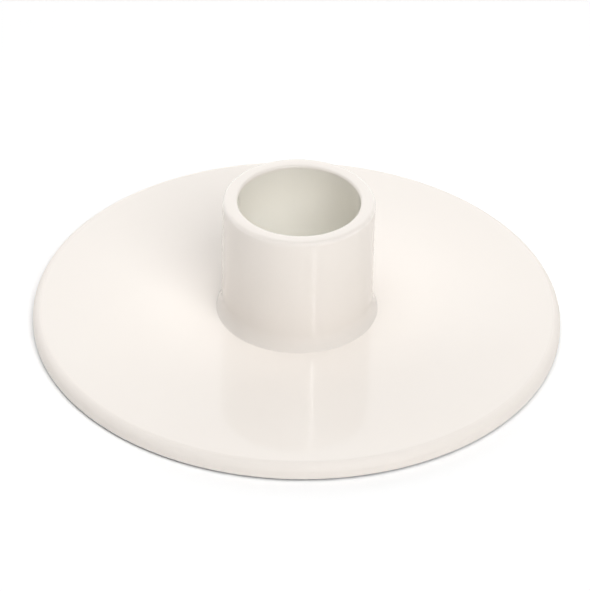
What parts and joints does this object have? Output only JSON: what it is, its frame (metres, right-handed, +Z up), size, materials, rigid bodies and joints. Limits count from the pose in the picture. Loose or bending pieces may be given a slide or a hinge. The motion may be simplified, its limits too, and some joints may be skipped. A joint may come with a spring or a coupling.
{
  "type": "candlestick",
  "caption": "Low candlestick: a flat round gloss-coated plate with a short straight cup in its middle that holds a taper candle upright.",
  "frame": {"origin": "on the table, under the centre of the plate", "axes": "+Z up along the axis of the cup, +X to the right and +Y away from the viewer in the picture"},
  "size_m": [0.1, 0.1, 0.0277],
  "materials": {
    "gloss_coat": "high-gloss cream lacquer on steel",
    "zinc_steel": "bright zinc plating",
    "felt": "thin dark grey pressed felt"
  },
  "bodies": {
    "root": {"base_plate": "gloss_coat", "candle_cup": "gloss_coat", "cup_screw": "zinc_steel", "felt_foot_1": "felt", "felt_foot_2": "felt", "felt_foot_3": "felt", "felt_foot_4": "felt"}
  },
  "joints": []
}
